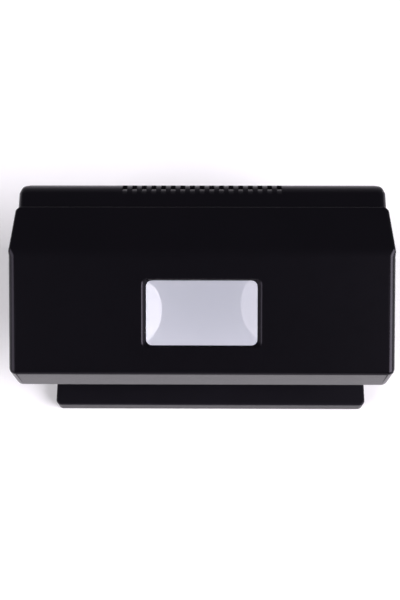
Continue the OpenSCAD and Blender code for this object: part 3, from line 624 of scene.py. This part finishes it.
def vent_outline(steps=14):
    """A slot's section in Y and Z: a curve that falls away to an opening, behind which stands a lip."""
    tip, radius = REAR_Y - 8.1, 5.95
    centre = (tip - 0.6, HOUSING_TOP - 6)
    first, last = math.acos((tip - centre[0]) / radius), math.radians(40)
    turns = [first + (last - first) * i / steps for i in range(steps + 1)]
    curve = [(centre[0] + radius * math.cos(turn), centre[1] + radius * math.sin(turn)) for turn in turns]
    top, floor_z, rear = HOUSING_TOP + 5, HOUSING_TOP - 5.5, REAR_Y + 9.4
    lip_y, lip_z = REAR_Y - 2.9, HOUSING_TOP - 3.9
    lip = [(lip_y, floor_z), (lip_y, lip_z), (rear, lip_z), (rear, top)]
    return [(tip, top)] + curve + [(curve[-1][0], floor_z)] + lip


def vent_cutters():
    """The row of slots over the top rear edge."""
    count, pitch, width = 17, 5.0, 2.5
    parts = []
    for i in range(count):
        x = (i - (count - 1) / 2) * pitch
        parts.append(prism_x(vent_outline(), x - width / 2, x + width / 2))
    return scratch("vents", joined(parts))


SWITCH_Y, SWITCH_Z = 38, (34.5, 16.5)
INLET = (-70, 24)
SCREW_X, SCREW_Z = 84, 66
INSIDE_Y, OUTSIDE_Y = 40, 60


def screw_seat(x):
    """A screw hole in the rear wall with a counterbore and an eased mouth."""
    hole, seat, depth, ease = 1.6, 3, 1.1, 0.3
    profile = ((INSIDE_Y, hole), (REAR_Y - depth, hole), (REAR_Y - depth, seat), (REAR_Y - ease, seat),
               (REAR_Y, 3.25), (REAR_Y + 1, 3.6))
    return loft([[(px, y, pz) for px, pz in disc((x, SCREW_Z), r)] for y, r in profile])


def housing_openings():
    """The inlet's cut-out, the two switches' and the screw seats."""
    inlet_w, inlet_h, corner = 20.6, 12.6, 2
    half_y, half_z, reach = 4.35, 6.85, 10
    inlet = rounded(inlet_w, inlet_h, corner, INLET)
    parts = [loft([[(x, y, z) for x, z in inlet] for y in (INSIDE_Y, OUTSIDE_Y)])]
    for z in SWITCH_Z:
        parts.append(block((HALF_W - reach, SWITCH_Y - half_y, z - half_z),
                           (HALF_W + reach, SWITCH_Y + half_y, z + half_z)))
    parts += [screw_seat(x) for x in (-SCREW_X, SCREW_X)]
    return scratch("openings", joined(parts))


def housing_lap():
    """What is cut away from the column's front, so that its narrow lap slides under the hood."""
    outer = block((-2 * HALF_W, COLUMN_Y - 9, RIM_Z - 0.4), (2 * HALF_W, LAP_Y, 2 * HOUSING_TOP))
    inner = block((-LAP_HALF_W, 0, 0), (LAP_HALF_W, LAP_Y + 1, LAP_TOP))
    lap = scratch("lap", outer)
    combine(lap, scratch("inner", inner), "DIFFERENCE")
    return lap


def housing_hollows():
    """The hollow of the column, and the narrower one that opens it to the front."""
    front_half_w = LAP_HALF_W - 2.1
    main = scratch("cavity", block((-HALF_W + WALL, LAP_Y + 0.9, 0),
                                   (HALF_W - WALL, REAR_Y - WALL, HOUSING_TOP - WALL)))
    round_edges(main, housing_radius(WALL), 6)
    front = scratch("front", block((-front_half_w, 0, 0), (front_half_w, LAP_Y + 1.4, LAP_TOP - WALL)))
    return main, front


def housing_posts():
    """Two screw posts, each tied to the rear wall."""
    post_x, post_y, bottom, top = 52, 44, 6, 20
    posts = []
    for x in (-post_x, post_x):
        posts.append(rod_z(x, post_y, POST_R, bottom, top))
        posts.append(block((x - 1, post_y + 2, bottom), (x + 1, REAR_Y - WALL + 0.5, top)))
    return scratch("posts", joined(posts))


def make_housing():
    """The rear column with its slots, cut-outs and lap."""
    body = scratch("column", block((-HALF_W, COLUMN_Y, HOUSING_Z), (HALF_W, REAR_Y, HOUSING_TOP)))
    round_edges(body, housing_radius(0), 8)
    for cutter in (*housing_hollows(), housing_lap(), housing_openings(), vent_cutters()):
        combine(body, cutter, "DIFFERENCE")
    combine(body, housing_posts(), "UNION")
    body.name = body.data.name = "rear_housing_shell"
    smooth_shade(body)
    dressed(body, "housing", "shell_black", "rear_housing")


# ---------- the deck ----------

DECK_LOW, DECK_HIGH = (tuple(c / MM for c in corner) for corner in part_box("deck_cover"))


def deck_outline(inset, rear, steps=6):
    """Plan of the deck with round front corners, drawn in by inset."""
    radius = 3 - inset
    low_x, high_x, front = DECK_LOW[0] + inset, DECK_HIGH[0] - inset, DECK_LOW[1] + inset
    points = [(low_x, rear)]
    for cx, start in ((low_x + radius, math.pi), (high_x - radius, 1.5 * math.pi)):
        for i in range(steps + 1):
            angle = start + math.pi / 2 * i / steps
            points.append((cx + radius * math.cos(angle), front + radius + radius * math.sin(angle)))
    return points + [(high_x, rear)]


def deck_radius(middle, way):
    """Edge radii: large along the top, small below, and none at the rear or on the upright corners."""
    if upright(way) or middle.y > DECK_HIGH[1] - 0.1:
        return 0.0
    return 1.0 if middle.z > DECK_HIGH[2] - 0.1 else 0.2


def panel_opening():
    """The hole for the lit panel, with an eased upper edge."""
    width, depth, corner, centre = 104.3, 50.3, 2, (0, -6)
    steps = ((0, 0), (12.2, 0), (12.42, 0.08), (12.5, 0.3), (13, 0.8))
    return loft([[(x, y, z) for x, y in rounded(width + 2 * g, depth + 2 * g, corner + g, centre)]
                 for z, g in steps])


def make_deck():
    """The viewing deck: an inverted tray with rolled edges and the opening for the lit panel."""
    skin, bottom, top = 2, 6, 11.5
    deck = scratch("deck", prism_z(deck_outline(0, DECK_HIGH[1]), DECK_LOW[2], DECK_HIGH[2]))
    round_edges(deck, deck_radius, 4)
    tray = prism_z(deck_outline(skin, DECK_HIGH[1] + 1), 0, DECK_HIGH[2] - skin)
    combine(deck, scratch("tray", tray), "DIFFERENCE")
    combine(deck, scratch("opening", panel_opening()), "DIFFERENCE")
    posts = [rod_z(x, y, POST_R, bottom, top) for x in (DECK_LOW[0] + 8, DECK_HIGH[0] - 8) for y in (-43, 15)]
    combine(deck, scratch("posts", joined(posts)), "UNION")
    deck.name = deck.data.name = "viewing_deck"
    smooth_shade(deck)
    dressed(deck, "housing", "shell_black", "deck_cover")
    # The deck is the shell's black plastic painted about 2.5 times lighter. This is painted light, standing
    # in for the glow of the lit panel under the hood falling on the deck top.
    deck.data.materials[0] = shell_plastic("deck_black_painted_light", (0.0045, 0.0042, 0.006), 0.42)


# ---------- magnifier lens and rockers ----------

def make_lens(rings=24):
    """A block lens, flat above and bulging below, with rounded corners."""
    width, height, corner, top, thickness, radius = 66, 41, 3, -WALL - 0.1, 8.2, 120
    ease_x, ease_y, ease_z = 0.994, 0.991, 0.2
    plan = dense(rounded(width, height, corner))

    def ring(scale):
        return [(x * scale, y * scale,
                 top - thickness + radius - math.sqrt(radius ** 2 - (x * x + y * y) * scale ** 2))
                for x, y in plan]
    upper = [(x * ease_x, y * ease_y, top) for x, y in plan]
    shoulder = [(x, y, top - ease_z) for x, y in plan]
    lower = [ring(1 - i / rings) for i in range(rings)]
    bm = loft(list(reversed([upper, shoulder] + lower + [ring(0.01)])))
    lens = scratch("magnifier_lens_glass", on_facet(bm))
    dressed(lens, "housing", "lens_clear", "magnifier_lens")
    smooth_shade(lens, mark_edges=False)


ROCKER_X = HALF_W - 1.5


def rocker_outline(steps=10):
    """Section of a rocker in X and Z about its pivot: a hollow outer face between two raised ends."""
    end_x, end_z, middle_x = 3.5, 5.3, 2.3
    face = [(middle_x + (end_x - middle_x) * (2 * i / steps - 1) ** 2, end_z * (2 * i / steps - 1))
            for i in range(steps + 1)]
    return [(-3.2, -4.4), (2, -5.55)] + face + [(2, 5.55), (-3.2, 4.4)]


def make_rocker(name, height, tilt, node):
    """One rocker with a hollow face, eased edges and a raised touch dot on its upper half."""
    half_width, axle_r, axle_half, dot_z = 3.2, 0.9, 4.1, 3.4
    dot_steps = ((2.0, 0.75), (3.05, 0.75), (3.2, 0.55))
    rings = [[(x, y, z) for x, z in rocker_outline()] for y in (-half_width, half_width)]
    rocker = scratch(name, loft(rings))
    combine(rocker, scratch("axle", rod_y(0, 0, axle_r, -axle_half, axle_half)), "UNION")
    dot = loft([[(x, y, z + dot_z) for y, z in disc((0, 0), r)] for x, r in dot_steps])
    combine(rocker, scratch("dot", dot), "UNION")
    soften(rocker, 0.3)
    pivot = Matrix.Translation(Vector((ROCKER_X, SWITCH_Y, height)) * MM)
    rocker.data.transform(pivot @ Matrix.Rotation(math.radians(tilt), 4, "Y"))
    smooth_shade(rocker, mark_edges=False)
    dressed(rocker, name.replace("_cap", ""), "rocker_black", node)


# ---------- carried-over nodes ----------

EDGE_WIDTHS = {"base_pan": 0.4, "bulkhead": 0.4, "rubber_feet": 0.5, "light_diffuser": 0.25}
FINE_EDGE = 0.15


def refine(obj, width, segments=2):
    """Merges the flat triangles of a CAD node and rounds its edges by a fine radius."""
    obj.data.polygons.foreach_set("use_smooth", [True] * len(obj.data.polygons))
    weld = obj.modifiers.new("weld", "WELD")
    weld.merge_threshold = 0.002 * MM
    flat = obj.modifiers.new("flat", "DECIMATE")
    flat.decimate_type = "DISSOLVE"
    flat.angle_limit = math.radians(1)
    edge = obj.modifiers.new("edge", "BEVEL")
    edge.limit_method = "ANGLE"
    edge.angle_limit = SHARP_ANGLE
    edge.width = width * MM
    edge.segments = segments
    normals = obj.modifiers.new("normals", "WEIGHTED_NORMAL")
    normals.keep_sharp = True


def dress_nodes():
    """Gives each CAD node its slot's material, and all but the leads softer edges."""
    slots = {row["node"]: row["material_slot"] for row in frame["record"]["subparts"]}
    for name, obj in frame["nodes"].items():
        obj.data.materials.clear()
        obj.data.materials.append(MATERIALS[slots[name]])
        if not name.endswith("_leads"):
            refine(obj, EDGE_WIDTHS.get(name, FINE_EDGE))


MATERIALS = palette()
camera()
studio()
dress_nodes()
make_hood()
make_housing()
make_deck()
make_lens()
make_rocker("uv_rocker_cap", SWITCH_Z[0], -9, "uv_switch_rocker")
make_rocker("light_rocker_cap", SWITCH_Z[1], 9, "light_switch_rocker")
